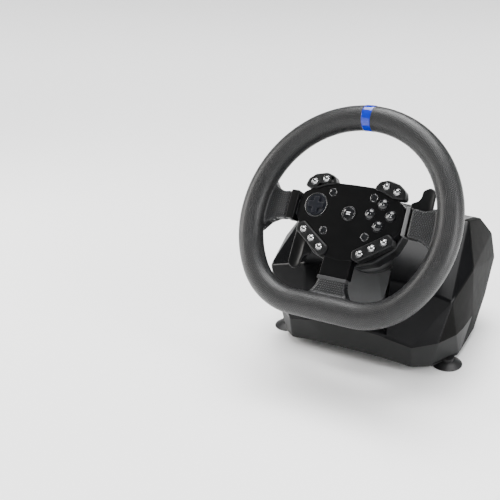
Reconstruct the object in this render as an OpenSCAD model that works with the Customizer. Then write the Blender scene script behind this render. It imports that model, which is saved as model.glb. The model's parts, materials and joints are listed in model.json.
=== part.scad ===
// Desk racing wheel for games: a D-shaped rim on a tilted steering column,
// a button hub with shift paddles, and a hollow winged base on suction cups.
// Origin: centre of the footprint on the desk. +X right, +Y away from the
// player, +Z up. Sizes are in millimetres.

/* [Rim] */
// Radius of the rim's centre line
rim_r = 125; // [118:1:130]
// Radius of the rim tube
tube_r = 15; // [13:0.5:16]
// Distance from the steering axis to the flat bottom's centre line
rim_flat = 105.4; // [102:0.2:108]
// Radius of the two lower corners' centre line
rim_corner_r = 77; // [70:1:84]
// Radius of the steel core inside the grip
core_r = 7.5; // [6:0.5:8]
// Width of the twelve o'clock band
band_w = 12; // [8:1:16]

/* [Steering] */
// Lean of the rim away from vertical
tilt = 33; // [30:0.5:36]
// Height of the rim's centre above the desk
hub_height = 188; // [186:1:194]
// Steering travel each way from straight ahead
lock_angle = 90; // [60:5:90]
// Radius of the steering shaft
shaft_r = 10; // [8:0.5:11]
// Running clearance in the shaft bushes
bush_gap = 0.05; // [0.02:0.01:0.08]
// Tooth module of the sensor gear pair
gear_module = 1.5; // [1.5:0.5:1.5]
// Teeth on the steering gear
big_teeth = 36; // [30:2:36]
// Teeth on the sensor gear
small_teeth = 18; // [16:1:18]

/* [Hub] */
// Height of the hub face, measured from the rim plane
face_w = -6; // [-7:0.5:-5]
// Thickness of the hub face plate
face_t = 3; // [2.5:0.5:3]
// Depth at which the rear hub shell ends
hub_back_w = -40; // [-44:1:-40]
// Wall thickness of the moulded hub shells
hub_wall = 2.5; // [2:0.5:3]
// Plane of the shift paddles
paddle_w = -46; // [-47:0.5:-46]

/* [Buttons] */
// Travel of every push button
press = 1.2; // [0.8:0.1:1.4]
// Gap round each moving button
button_gap = 0.35; // [0.3:0.05:0.5]
// Radius of the four large action buttons
action_r = 5.6; // [5:0.1:6]
// Radius of the ten pod buttons
pod_r = 4.2; // [3.8:0.1:4.6]
// Radius of the four flush buttons
flush_r = 3.9; // [3.5:0.1:4.2]
// Radius of the home button
home_r = 7.2; // [6.5:0.1:7.5]
// Radius of the direction pad
dpad_r = 13; // [12:0.2:13.4]

/* [Base] */
// Thickness of the moulded base shells
wall = 3; // [2.5:0.5:3.5]
// Half width of the front band at the desk
front_half = 85; // [80:1:90]
// Furthest point of the base behind the rim's centre
base_rear = 222; // [218:1:228]
// Radius of a suction cup
cup_r = 19; // [16:1:20]
// Thread radius of the two clamp inserts
insert_r = 3; // [2.5:0.5:3]

/* [Hidden] */
$fn = 64;
eps = 0.01;
slip = 0.1;

// The rim's front edge and the base's rear edge share the footprint evenly.
front_reach = rim_flat * sin(tilt) + tube_r;
wheel_y = (front_reach - base_rear) / 2;

// D-shaped centre line: where the lower corners start and end.
corner_y = rim_corner_r - rim_flat;
corner_x = sqrt(pow(rim_r - rim_corner_r, 2) - pow(corner_y, 2));
corner_a = atan2(corner_y, corner_x);
band_a = band_w / rim_r * 180 / PI;
joint_gap = 0.02;
sleeve_r = core_r + 1;
sleeve_l = 14;

// Hub stack, measured along the steering axis from the rim plane.
skin_w = face_w - face_t;
board_w = -17.6;
mat_w = -15;
stem_w = mat_w + press + 0.4;
dpad_pivot_w = -12.4;
seam_w = -18;
plate_w = -25;
plate_t = 4;
arm_w = -13;
arm_t = 5;
flange_w = -31;
bolt_pcd = 34;
bolt_r = 2;

// Column stations, measured behind the rim plane along the steering axis.
bezel_s = [80, 97];
bezel_r = 46;
tube_s = [104, 182];
tube_or = 19;
bush_l = 14;
bush_r = 15;
stop_s = [183, 188];
gear_s = [189, 197];
shaft_end_s = 203;
big_pitch = gear_module * big_teeth / 2;
small_pitch = gear_module * small_teeth / 2;
gear_x = big_pitch + small_pitch + 0.15;
lug_half = 40;
stop_half = 177 - lug_half - lock_angle;

// Centring spring inside the column tube.
spring_wire = 1.1;
spring_coil_r = 12.2;
spring_s = [tube_s[0] + bush_l + 1.4, tube_s[1] - bush_l - 1.4];
spring_facets = 16;
spring_steps = 7 * spring_facets;
spring_sides = 6;

// Button centres on the hub face.
home_at = [0, 8.4];
dpad_at = [-45, 13];
action_at = [[40.4, 24.7], [27, 11.4], [52.6, 12.2], [39.6, -1.7]];
flush_at = [[-27, 31], [27, 31], [-27, -16.2], [27, -16.2]];
pod_at = [
    [-54, 41], [-39.4, 46], [39.4, 46], [54, 41],
    [-52.5, -19], [-39.5, -28], [-26.4, -36.7],
    [52.5, -19], [39.5, -28], [26.4, -36.7]];

// Outlines on the hub, right half from top to bottom.
face_half = [
    [0, 43.5], [26, 43], [46, 38.5], [66, 26.5], [69, 12], [68, -4],
    [59, -15], [34, -35], [18, -46], [0, -48]];
back_half = [
    [0, 42.5], [28, 42], [50, 37], [65, 25.5], [68, 12], [67, -8],
    [61, -24], [40, -43], [18, -50], [0, -51]];
pod_top = [
    [24, 42], [30, 51], [40, 54], [55, 50.5], [63, 44], [66, 33],
    [50, 33], [38, 38]];
pod_bottom = [
    [15.6, -35], [17, -43.5], [24, -47.4], [63.3, -20.7], [62, -13],
    [54.9, -8.3]];

// Corners of the convex base body, right half. The y values are measured
// from the plane of the rim's centre.
body_half = [
    [0, 3, 8], [front_half, 8, 8], [103, 22, 6], [125, 66, 6],
    [126, 125, 12], [98, 142, 6], [122, 185, 34], [0, 190, 34], [0, 0, 48],
    [60, 0, 48], [front_half, 4, 38], [126, 26, 97], [134, 78, 120],
    [128, 106, 42], [69, 20, 113], [112, 122, 164], [0, 130, 174],
    [112, 176, 152], [119, 212, 121], [124, base_rear - 4, 84],
    [0, base_rear, 84], [0, 214, 122]];
body_core = [0, 110, 90];

// Side view of the side panels and the rear cover, as [y, z].
panel_side = [
    [66, 0], [106, 42], [78, 120], [122, 164], [130, 200], [260, 200],
    [260, 0]];
rear_side = [[176, 200], [143, 0], [260, 0], [260, 200]];
// Front view of the line where the band meets the upper shell.
band_front = [
    [-160, 0], [-160, 40], [-128, 42], [-front_half, 37], [-45, 46],
    [0, 48.5], [45, 46], [front_half, 37], [128, 42], [160, 40], [160, 0]];
valley_plan = [[-60, -20], [60, -20], [37, 62], [-37, 62]];
neck_side = [[34, 49.2], [52, 106], [112, 122], [112, 49.2]];
valley_z = 49;
panel_x = 104;
bottom_z = 6;

// Places of the fasteners, cups, sockets and motor, on the same footing.
post_at = [[-30, 24], [30, 24], [-34, -26], [34, -26]];
screw_at = [[-84, 34], [84, 34], [-92, 84], [92, 84], [-50, 136], [50, 136]];
cup_at = [[-116, 48], [116, 48], [-80, 124], [80, 124]];
insert_at = [[-22, 60], [22, 60]];
socket_x = [-32, 32];
socket_z = 90;
motor_at = [70, 82, 58];

/* ---------- frames of reference ---------- */

module on_wheel() {
    translate([0, wheel_y, hub_height]) rotate([90 - tilt, 0, 0]) children();
}

module in_base() {
    translate([0, wheel_y, 0]) children();
}

// A cylinder on the steering axis between two stations behind the rim.
module axle(from_s, to_s, r) {
    translate([0, 0, -to_s]) cylinder(h = to_s - from_s, r = r);
}

module mirrored() {
    children();
    mirror([1, 0, 0]) children();
}

// A closed outline from its right half.
function both_sides(half) = concat(
    half, [for (i = [len(half) - 2 : -1 : 1]) [-half[i][0], half[i][1]]]);

/* ---------- rim ---------- */

// The D-shaped tube of a given radius, in four lengths that butt together.
module d_tube(r) {
    gap_a = joint_gap / rim_r * 180 / PI;
    rotate([0, 0, corner_a + gap_a])
        rotate_extrude(angle = 180 - 2 * corner_a - 2 * gap_a)
            translate([rim_r, 0]) circle(r);
    for (start = [[1, -90], [-1, 180 - corner_a]])
        translate([start[0] * corner_x, corner_y, 0])
            rotate([0, 0, start[1] + gap_a])
                rotate_extrude(angle = 90 + corner_a - 2 * gap_a)
                    translate([rim_corner_r, 0]) circle(r);
    translate([-corner_x + joint_gap, -rim_flat, 0]) rotate([0, 90, 0])
        cylinder(h = 2 * (corner_x - joint_gap), r = r);
}

// Sleeves over the four butt joints of the steel core.
module core_sleeves(r, l) {
    for (side = [-1, 1]) {
        translate([side * corner_x - l / 2, -rim_flat, 0])
            rotate([0, 90, 0]) cylinder(h = l, r = r);
        translate([side * rim_r * cos(corner_a), rim_r * sin(corner_a), 0])
            rotate([90, 0, side * corner_a]) translate([0, 0, -l / 2])
                cylinder(h = l, r = r);
    }
}

module band_ring(r_in, r_out, half_a) {
    rotate([0, 0, 90 - half_a]) rotate_extrude(angle = 2 * half_a)
        translate([rim_r, 0]) difference() {
            circle(r_out);
            circle(r_in);
        }
}

// One bent spoke arm, running along +X, grown by a margin.
module spoke_arm(reach, half_w, margin) {
    translate([0, half_w + margin, 0]) rotate([90, 0, 0])
        linear_extrude(2 * (half_w + margin)) polygon([
            [18, plate_w - margin], [58, plate_w - margin],
            [70, arm_w - margin], [reach, arm_w - margin],
            [reach, 0], [reach - 6 - margin, 0],
            [reach - 6 - margin, arm_w + arm_t + margin],
            [68, arm_w + arm_t + margin],
            [56, plate_w + plate_t + margin],
            [18, plate_w + plate_t + margin]]);
}

module spoke_arms(margin) {
    for (side = [0, 180])
        translate([0, 7, 0]) rotate([0, 0, side])
            spoke_arm(rim_r, 9, margin);
    rotate([0, 0, -90]) translate([-12, 0, 0])
        spoke_arm(rim_flat + 12, 9, margin);
}

module rim_frame() {
    color([0.32, 0.33, 0.34]) on_wheel() {
        d_tube(core_r);
        core_sleeves(sleeve_r, sleeve_l);
        difference() {
            union() {
                spoke_arms(0);
                translate([0, 0, plate_w]) cylinder(h = plate_t, r = 26);
            }
            translate([0, 0, plate_w - 1])
                cylinder(h = plate_t + 2, r = 8);
            bolt_circle(plate_w - 1, plate_t + 2, bolt_r + 0.2);
        }
    }
}

module bolt_circle(w, h, r) {
    for (i = [0 : 3]) rotate([0, 0, 45 + 90 * i])
        translate([bolt_pcd / 2, 0, w]) cylinder(h = h, r = r);
}

module rim_grip() {
    color([0.17, 0.18, 0.19]) on_wheel() difference() {
        d_tube(tube_r);
        d_tube(core_r + slip);
        core_sleeves(sleeve_r + slip, sleeve_l + 2 * slip);
        band_ring(tube_r - 1.05, tube_r + 2, band_a / 2 + 0.05);
        spoke_arms(slip);
    }
}

module top_marker() {
    color([0.05, 0.3, 0.85]) on_wheel()
        band_ring(tube_r - 1, tube_r + 0.4, band_a / 2);
}

/* ---------- spokes ---------- */

module side_cover() {
    difference() {
        translate([0, 0, -18]) linear_extrude(15) polygon([
            [76.2, -8], [92, -9.5], [103, -16], [112, -27], [128, -26],
            [128, 42], [112, 38], [104, 27], [92, 23.5], [76.2, 25]]);
        rotate_extrude() translate([rim_r, 0]) circle(tube_r + slip);
        rotate([0, 0, -60]) rotate_extrude(angle = 120)
            translate([rim_r, -40]) square([40, 80]);
        spoke_arms(slip);
    }
}

module lower_cover() {
    difference() {
        translate([0, 0, -18]) linear_extrude(15) polygon([
            [-16, -68.8], [16, -68.8], [18, -82], [26, -92], [26, -100],
            [-26, -100], [-26, -92], [-18, -82]]);
        translate([-60, -rim_flat, 0]) rotate([0, 90, 0])
            cylinder(h = 120, r = tube_r + slip);
        translate([-60, -rim_flat - 40, -40]) cube([120, 40, 80]);
        spoke_arms(slip);
    }
}

module spoke_covers() {
    color([0.2, 0.21, 0.22]) on_wheel() {
        side_cover();
        mirror([1, 0, 0]) difference() {
            side_cover();
            translate([70, -40, -30]) cube([11.2, 100, 60]);
        }
        lower_cover();
    }
}

module spoke_trims() {
    color([0.04, 0.04, 0.045]) on_wheel() difference() {
        union() {
            translate([70, -8, -19]) cube([6, 34, 16]);
            translate([-81, -9, -19]) cube([11, 36, 17]);
            translate([-18, -68.6, -19]) cube([36, 17, 16]);
        }
        spoke_arms(slip);
    }
}

/* ---------- hub ---------- */

module pod_outline(top, side) {
    mirror([side < 0 ? 1 : 0, 0]) polygon(top ? pod_top : pod_bottom);
}

module all_pod_outlines() {
    for (top = [true, false], side = [-1, 1]) pod_outline(top, side);
}

module face_holes(extra) {
    translate(home_at) circle(home_r + 1.7 + extra);
    translate(dpad_at) circle(dpad_r + 1.9 + extra);
    for (p = action_at) translate(p) circle(action_r + button_gap);
    for (p = flush_at) translate(p) circle(flush_r + 1.1 + extra);
}

module hub_face() {
    color([0.1, 0.1, 0.11]) on_wheel() difference() {
        translate([0, 0, seam_w]) linear_extrude(face_w - seam_w)
            polygon(both_sides(face_half));
        translate([0, 0, seam_w - 1])
            linear_extrude(skin_w - seam_w + 1)
                polygon([for (p = both_sides(face_half)) p * 0.955]);
        translate([0, 0, seam_w - 1]) linear_extrude(30) {
            all_pod_outlines();
            face_holes(0);
        }
        spoke_arms(0.5);
    }
}

module pod_shell(top, side) {
    color([0.36, 0.37, 0.38]) on_wheel() difference() {
        translate([0, 0, seam_w]) linear_extrude(face_w + 2 - seam_w)
            pod_outline(top, side);
        for (p = pod_at) translate([p[0], p[1], -30])
            cylinder(h = 40, r = pod_r + button_gap);
        for (p = pod_at) translate([p[0], p[1], seam_w - 1])
            cylinder(h = 9.5, r = pod_r + 1.2);
        translate([0, 0, seam_w - 1]) linear_extrude(mat_w - seam_w + 1.4)
            polygon([for (p = both_sides(face_half)) p * 0.945]);
    }
}

module pod_top_left() { pod_shell(true, -1); }
module pod_top_right() { pod_shell(true, 1); }
module pod_bottom_left() { pod_shell(false, -1); }
module pod_bottom_right() { pod_shell(false, 1); }

module hub_back() {
    outer = both_sides(back_half);
    color([0.3, 0.31, 0.32]) on_wheel() difference() {
        union() {
            difference() {
                translate([0, 0, hub_back_w])
                    linear_extrude(seam_w - hub_back_w) polygon(outer);
                translate([0, 0, hub_back_w + hub_wall])
                    linear_extrude(40)
                        polygon([for (p = outer) p * 0.955]);
            }
            for (p = post_at) translate([p[0], p[1], hub_back_w])
                cylinder(h = seam_w - hub_back_w - 0.5, r = 4);
            for (turn = [0, 180]) rotate([0, 0, turn])
                for (v = [9, 25]) translate([47, v, paddle_w - 4.5])
                    cube([10, 4, hub_back_w - paddle_w + 6]);
        }
        translate([0, 0, hub_back_w - 1]) cylinder(h = 6, r = 27);
        for (p = post_at) translate([p[0], p[1], hub_back_w - 1])
            cylinder(h = 40, r = bolt_r - 0.2);
        paddle_bores(1.5);
        spoke_arms(0.5);
    }
}

module paddle_bores(r) {
    for (turn = [0, 180]) rotate([0, 0, turn])
        translate([52, 8, paddle_w]) rotate([-90, 0, 0])
            cylinder(h = 22, r = r);
}

module paddle_pins() {
    color([0.75, 0.75, 0.77]) on_wheel() for (turn = [0, 180])
        rotate([0, 0, turn]) translate([52, 9, paddle_w])
            rotate([-90, 0, 0]) cylinder(h = 20, r = 1.45);
}

module ring(p, r_in, r_out, w, h) {
    translate([p[0], p[1], w]) difference() {
        cylinder(h = h, r = r_out);
        translate([0, 0, -1]) cylinder(h = h + 2, r = r_in);
    }
}

module button_rings() {
    color([0.6, 0.61, 0.63]) on_wheel() {
        ring(home_at, home_r + button_gap, home_r + 1.65, skin_w, face_t + 0.8);
        ring(dpad_at, dpad_r + 0.9, dpad_r + 1.85, skin_w, face_t + 0.6);
        for (p = flush_at)
            ring(p, flush_r + button_gap, flush_r + 1.05, skin_w, face_t + 0.4);
    }
}

// Silicone sheet with a low nub under each button.
module button_mat() {
    color([0.75, 0.75, 0.72]) on_wheel() difference() {
        translate([0, 0, board_w + 1.6]) linear_extrude(1)
            difference() {
                polygon([for (p = both_sides(face_half)) p * 0.93]);
                translate(dpad_at) circle(dpad_r);
            }
        spoke_arms(0.6);
    }
}

// Circuit board with the two ears that hold the direction pad's pivot.
module hub_board() {
    color([0.05, 0.3, 0.14]) on_wheel() difference() {
        union() {
            translate([0, 0, board_w]) linear_extrude(1.6)
                polygon([for (p = both_sides(face_half)) p * 0.93]);
            for (side = [-1, 1])
                translate([dpad_at[0] + side * 6.2 - 0.9,
                    dpad_at[1] - 2, board_w])
                    cube([1.8, 4, dpad_pivot_w - board_w + 1.7]);
        }
        translate([dpad_at[0], dpad_at[1], dpad_pivot_w])
            rotate([0, 90, 0]) cylinder(h = 20, r = 1.05, center = true);
        spoke_arms(0.6);
    }
}

module screw(h, head_r) {
    cylinder(h = 2.4, r = head_r);
    cylinder(h = h, r = bolt_r - 0.25);
}

// Four bolts through the shaft flange and four through the rear shell.
module hub_screws() {
    color([0.6, 0.6, 0.62]) on_wheel() {
        bolt_circle(flange_w - 2.4, 2.4, 3.6);
        bolt_circle(flange_w - 2.4, plate_w + plate_t - flange_w + 1.4, bolt_r);
        for (p = post_at) translate([p[0], p[1], hub_back_w - 2.4])
            screw(14, 3.4);
    }
}

/* ---------- buttons ---------- */

// A round button: stem, retaining collar below the skin, domed cap.
module button(p, r, proud, dome) {
    on_wheel() translate([p[0], p[1], 0]) {
        translate([0, 0, stem_w]) cylinder(h = face_w + proud - stem_w, r = r);
        translate([0, 0, skin_w - 1.9])
            cylinder(h = 1.2, r = r + 0.8);
        if (dome > 0)
            translate([0, 0, face_w + proud]) rotate_extrude()
                intersection() {
                    translate([0, dome - (r * r + dome * dome) / (2 * dome)])
                        circle((r * r + dome * dome) / (2 * dome));
                    square([r, dome]);
                }
    }
}

module home_button() {
    color([0.08, 0.08, 0.09]) button(home_at, home_r, 0.8, 0.8);
}

// Cross-shaped pivot: one pin turns in the board's ears, the other
// carries the pad.
module dpad_carrier() {
    color([0.2, 0.2, 0.2]) on_wheel() translate([dpad_at[0], dpad_at[1],
            dpad_pivot_w]) {
        rotate([0, 90, 0]) cylinder(h = 15, r = 1, center = true);
        rotate([90, 0, 0]) cylinder(h = 7, r = 1, center = true);
    }
}

module dpad() {
    color([0.07, 0.07, 0.08]) on_wheel() translate(dpad_at) difference() {
        union() {
            translate([0, 0, face_w - 3.4]) cylinder(h = 4.6, r = dpad_r);
            for (turn = [0, 90]) rotate([0, 0, turn])
                translate([-10, -3.4, face_w + 1])
                    cube([20, 6.8, 1.8]);
            translate([0, 0, dpad_pivot_w - 2])
                cylinder(h = 5.4, r = 3.5);
        }
        translate([0, 0, face_w + 14.5]) sphere(r = 13.4);
        translate([0, 10, dpad_pivot_w]) rotate([90, 0, 0])
            cylinder(h = 20, r = 1.05);
        translate([-6, -1.4, dpad_pivot_w - 3]) cube([12, 2.8, 4.4]);
    }
}

module action_button(i) {
    color([0.06, 0.06, 0.07]) button(action_at[i], action_r, 1.2, 1.8);
}

module action_button_top() { action_button(0); }
module action_button_left() { action_button(1); }
module action_button_right() { action_button(2); }
module action_button_bottom() { action_button(3); }

module flush_button(i) {
    color([0.12, 0.12, 0.13]) button(flush_at[i], flush_r, 0.6, 0.4);
}

module flush_button_top_left() { flush_button(0); }
module flush_button_top_right() { flush_button(1); }
module flush_button_bottom_left() { flush_button(2); }
module flush_button_bottom_right() { flush_button(3); }

module pod_button(i) {
    color([0.5, 0.5, 0.52]) button(pod_at[i - 1], pod_r, 2.6, 2.2);
}

/* ---------- paddles ---------- */

// The blade stands outward of its pivot barrel and behind the pods.
module paddle(turn) {
    color([0.3, 0.31, 0.32]) on_wheel() rotate([0, 0, turn]) difference() {
        union() {
            translate([52, 13.4, paddle_w]) rotate([-90, 0, 0])
                cylinder(h = 11.2, r = 3.4);
            translate([0, 0, paddle_w - 1.6]) linear_extrude(3.2) {
                polygon([[52, 13.4], [57.8, 13.4], [74, 6], [86, 20],
                    [84, 46], [70, 44], [61, 34], [57.8, 24.6], [52, 24.6]]);
                translate([78, 13]) circle(10);
                translate([79.5, 51]) circle(9.5);
                translate([70, 13]) square([18.5, 38]);
            }
        }
        translate([52, 0, paddle_w]) rotate([-90, 0, 0])
            cylinder(h = 60, r = 1.5);
    }
}

module paddle_right() { paddle(0); }
module paddle_left() { paddle(180); }

/* ---------- steering column, turning ---------- */

module steering_shaft() {
    color([0.62, 0.63, 0.65]) on_wheel() difference() {
        union() {
            axle(-plate_w, -flange_w, 24);
            axle(-plate_w, shaft_end_s, shaft_r);
        }
        bolt_circle(flange_w - 1, 8, bolt_r + 0.2);
        axle(-plate_w - 1, shaft_end_s + 1, shaft_r - 4);
    }
}

// Involute tooth outline of a spur gear.
function involute(base_r, a) = base_r * [
    cos(a) + a * PI / 180 * sin(a), sin(a) - a * PI / 180 * cos(a)];
function turned(p, a) = [
    p[0] * cos(a) - p[1] * sin(a), p[0] * sin(a) + p[1] * cos(a)];
function gear_outline(teeth, backlash) =
    let (
        pitch_r = gear_module * teeth / 2,
        base_r = pitch_r * cos(20),
        tip_r = pitch_r + 0.92 * gear_module,
        root_r = pitch_r - 1.25 * gear_module,
        end_a = sqrt(pow(tip_r / base_r, 2) - 1) * 180 / PI,
        pitch_inv = (tan(20) - 20 * PI / 180) * 180 / PI,
        half_a = 90 / teeth - backlash / pitch_r * 90 / PI + pitch_inv,
        flank = [for (i = [0 : 4]) involute(base_r, end_a * i / 4)])
    [for (t = [0 : teeth - 1]) each concat(
        [turned([root_r, 0], 360 * t / teeth - half_a)],
        [for (i = [0 : 4]) turned(flank[i], 360 * t / teeth - half_a)],
        [for (i = [4 : -1 : 0])
            turned([flank[i][0], -flank[i][1]], 360 * t / teeth + half_a)],
        [turned([root_r, 0], 360 * t / teeth + half_a)])];

// Pressed on the shaft's end, with the lug that meets the steering stop.
module steering_gear() {
    color([0.85, 0.83, 0.76]) on_wheel() difference() {
        union() {
            translate([0, 0, -gear_s[1]])
                linear_extrude(gear_s[1] - gear_s[0])
                    polygon(gear_outline(big_teeth, 0.3));
            axle(stop_s[0] + 0.5, gear_s[1], 13);
            translate([0, 0, -gear_s[0] - 0.1]) rotate([0, 0, 90 - lug_half])
                rotate_extrude(angle = 2 * lug_half) translate([12, 0])
                    square([9, gear_s[0] - stop_s[0] - 0.5]);
        }
        axle(stop_s[0], gear_s[1] + 1, shaft_r + 0.02);
    }
}

/* ---------- steering column, fixed ---------- */

module shaft_bushes() {
    color([0.72, 0.55, 0.3]) on_wheel()
        for (s = [tube_s[0], tube_s[1] - bush_l]) difference() {
            axle(s, s + bush_l, bush_r);
            axle(s - 1, s + bush_l + 1, shaft_r + bush_gap);
        }
}

// Tube that holds the bushes, its two webs and the fixed steering stop.
module column_housing() {
    color([0.25, 0.25, 0.26]) difference() {
        union() {
            on_wheel() {
                axle(tube_s[0], tube_s[1], tube_or);
                translate([0, 0, -stop_s[1]]) rotate([0, 0, 270 - stop_half])
                    rotate_extrude(angle = 2 * stop_half)
                        translate([bush_r + 0.4, 0])
                            square([3.2, stop_s[1] - tube_s[1] + 1]);
                translate([0, -12, -tube_s[1]]) cube([gear_x + 13, 24, 4]);
            }
            in_base() for (x = [-14, 8]) translate([x, 0, 0])
                rotate([90, 0, 90]) linear_extrude(6)
                    polygon([[60, 8.6], [84, 119], [136, 85], [128, 8.6]]);
        }
        on_wheel() {
            axle(tube_s[0] - 1, tube_s[1] + 1, bush_r);
            translate([gear_x, 0, -tube_s[1] - 1]) cylinder(h = 6, r = 3.2);
        }
    }
}

// Torsion spring wound round the shaft inside the housing tube.
function spring_ring(i) =
    let (a = 360 * i / spring_facets,
         z = -spring_s[0] - (spring_s[1] - spring_s[0]) * i / spring_steps)
    [for (k = [0 : spring_sides - 1])
        let (b = 360 * k / spring_sides,
             q = spring_coil_r + spring_wire * cos(b))
        [q * cos(a), q * sin(a), z + spring_wire * sin(b)]];

module centring_spring() {
    n = spring_sides;
    points = [for (i = [0 : spring_steps]) each spring_ring(i)];
    sides = [for (i = [0 : spring_steps - 1], k = [0 : n - 1])
        [i * n + k, i * n + (k + 1) % n,
         (i + 1) * n + (k + 1) % n, (i + 1) * n + k]];
    ends = [[for (k = [n - 1 : -1 : 0]) k],
        [for (k = [0 : n - 1]) spring_steps * n + k]];
    color([0.7, 0.7, 0.72]) on_wheel()
        polyhedron(points = points, faces = concat(sides, ends));
}

// Rotary position sensor beside the housing, its spindle inside the gear.
module sensor() {
    color([0.15, 0.25, 0.45]) on_wheel() difference() {
        translate([gear_x, 0, 0]) {
            axle(tube_s[1] - 16, tube_s[1] - 4, 10);
            translate([-8, -16, -tube_s[1] + 4]) cube([16, 8, 8]);
        }
        translate([gear_x, 0, 0]) axle(tube_s[1] - 12, tube_s[1], 3.05);
    }
}

module sensor_gear() {
    color([0.85, 0.83, 0.76]) on_wheel() translate([gear_x, 0, 0]) {
        translate([0, 0, -gear_s[1]]) linear_extrude(gear_s[1] - gear_s[0])
            rotate([0, 0, 180 + 180 / small_teeth])
                polygon(gear_outline(small_teeth, 0.3));
        axle(tube_s[1] - 11, gear_s[0] + 1, 3);
    }
}

/* ---------- base shells ---------- */

// One body corner moved inward on every axis.
function inward(p, t) = [for (k = [0 : 2])
    p[k] - t * sign(p[k] - body_core[k])];

module body(t) {
    half = [for (p = body_half) inward(p, t)];
    other = [for (p = half) [-p[0], p[1], p[2]]];
    points = concat(half, other);
    hull() polyhedron(points = points,
        faces = [[for (i = [0 : len(points) - 1]) i]]);
}

module side_view(outline, x_from, x_to) {
    translate([x_from, 0, 0]) rotate([90, 0, 90])
        linear_extrude(x_to - x_from) polygon(outline);
}

module below_band() {
    translate([0, 400, 0]) rotate([90, 0, 0])
        linear_extrude(500) polygon(band_front);
}

module valley(grow) {
    translate([0, 0, valley_z - grow]) linear_extrude(200)
        polygon([for (p = valley_plan) [p[0] + sign(p[0]) * grow,
            p[1] + (p[1] > 0 ? grow : -20)]]);
}

// The steering axis seen from inside the base's own frame.
module on_column() {
    translate([0, 0, hub_height]) rotate([90 - tilt, 0, 0]) children();
}

module hood_bore(r) {
    on_column() axle(20, 150, r);
}

module panel_zone(grow) {
    mirrored() side_view(panel_side, panel_x - grow, 200);
}

module front_arch() {
    rise = 8;
    arch_r = (pow(front_half, 2) + pow(rise, 2)) / (2 * rise);
    translate([0, 30, 16 - arch_r]) rotate([90, 0, 0])
        cylinder(h = 60, r = arch_r, $fn = 256);
}

module base_lower() {
    color([0.33, 0.34, 0.34]) in_base() {
        difference() {
            body(0);
            difference() {
                body(wall);
                translate([-200, -50, 0]) cube([400, 400, 9]);
            }
            difference() {
                translate([-200, -100, 0]) cube([400, 500, 300]);
                below_band();
            }
            panel_zone(0);
            side_view(rear_side, -panel_x, panel_x);
            translate([-200, 24, -1]) cube([400, 400, 11]);
            translate([-panel_x, 32, -1]) cube([2 * panel_x, 400, 60]);
            front_arch();
        }
    }
}

module base_upper() {
    color([0.05, 0.05, 0.055]) in_base() difference() {
        body(0);
        difference() {
            body(wall);
            valley(wall);
            on_column() axle(20, tube_s[0], bezel_r + 0.5 + wall);
        }
        valley(0);
        below_band();
        panel_zone(0);
        side_view(rear_side, -panel_x, panel_x);
        hood_bore(bezel_r + 0.5);
    }
}

module side_panel_right() {
    color([0.12, 0.12, 0.13]) in_base() intersection() {
        difference() {
            body(0);
            body(wall);
        }
        side_view(panel_side, panel_x, 200);
    }
}

module side_panel_left() {
    mirror([1, 0, 0]) side_panel_right();
}

module rear_cover() {
    color([0.14, 0.14, 0.15]) in_base() difference() {
        intersection() {
            body(0);
            side_view(rear_side, -panel_x, panel_x);
        }
        body(wall);
        for (x = socket_x) translate([x - 8, 190, socket_z - 7])
            cube([16, 60, 14]);
        for (i = [-5 : 5]) translate([i * 9 - 2, 190, 102])
            cube([4, 60, 14]);
    }
}

// Neck between the wings, with the hood that meets the bezel.
module column_cover() {
    color([0.38, 0.39, 0.4]) in_base() difference() {
        union() {
            difference() {
                union() {
                    side_view(neck_side, -32, 32);
                    on_column() axle(bezel_s[1], 150, bezel_r - 1);
                }
                side_view([for (p = neck_side)
                    [p[0] + (p[0] < 100 ? wall : 20),
                     p[1] + (p[1] < 60 ? -9 : -wall)]], -29, 29);
                on_column() axle(0, 200, bezel_r - 4);
                difference() {
                    body(wall + 4);
                    valley(0);
                }
            }
            on_column() difference() {
                axle(bezel_s[1], bezel_s[1] + 5, bezel_r - 1);
                axle(0, 200, bezel_r - 4);
            }
        }
        on_column() axle(-50, bezel_s[1], 120);
        difference() {
            body(-eps);
            valley(0);
            hood_bore(bezel_r + 0.4);
        }
    }
}

module column_bezel() {
    color([0.09, 0.09, 0.1]) on_wheel() difference() {
        union() {
            axle(bezel_s[0] + 7, bezel_s[1] - eps, bezel_r);
            translate([0, 0, -bezel_s[0] - 7]) rotate_extrude()
                intersection() {
                    translate([bezel_r - 12, -5]) circle(12);
                    square([bezel_r, 7]);
                }
        }
        axle(0, 200, 30);
        axle(bezel_s[0] + 9, 200, bezel_r - 4);
    }
}

module bottom_plate() {
    color([0.12, 0.12, 0.12]) in_base() difference() {
        union() {
            intersection() {
                body(0);
                translate([-panel_x - 20, 24.2, bottom_z])
                    cube([2 * panel_x + 40, 118, 2.5]);
            }
            for (p = insert_at) translate([p[0], p[1], bottom_z])
                cylinder(h = 14, r = 6.5);
            for (p = cup_at) translate([p[0], p[1], bottom_z])
                cylinder(h = 3.8, r = 8);
        }
        panel_zone(0.2);
        for (p = insert_at) translate([p[0], p[1], 0])
            cylinder(h = 18, r = insert_r);
        for (p = screw_at) translate([p[0], p[1], 0])
            cylinder(h = 20, r = bolt_r);
        for (p = cup_at) translate([p[0], p[1], 0])
            cylinder(h = 10, r = 4.05);
        for (i = [-3 : 3]) translate([i * 12 - 2, 84, 0])
            cube([4, 36, 20]);
    }
}

// Four rubber cups, each with a hollow underside and a neck in the plate.
module suction_cups() {
    color([0.06, 0.06, 0.06]) in_base() for (p = cup_at)
        translate([p[0], p[1], 0]) {
            rotate_extrude() polygon([
                [0, 2.2], [cup_r - 6, 1.2], [cup_r - 1.5, 0], [cup_r, 0],
                [cup_r, 1.2], [cup_r - 7, 4.4], [7, 6], [4, 6], [4, 9.6],
                [0, 9.6]]);
        }
}

module base_screws() {
    color([0.5, 0.5, 0.52]) in_base() for (p = screw_at)
        translate([p[0], p[1], 3.6]) screw(16, 3.6);
}

/* ---------- electronics in the base ---------- */

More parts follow.
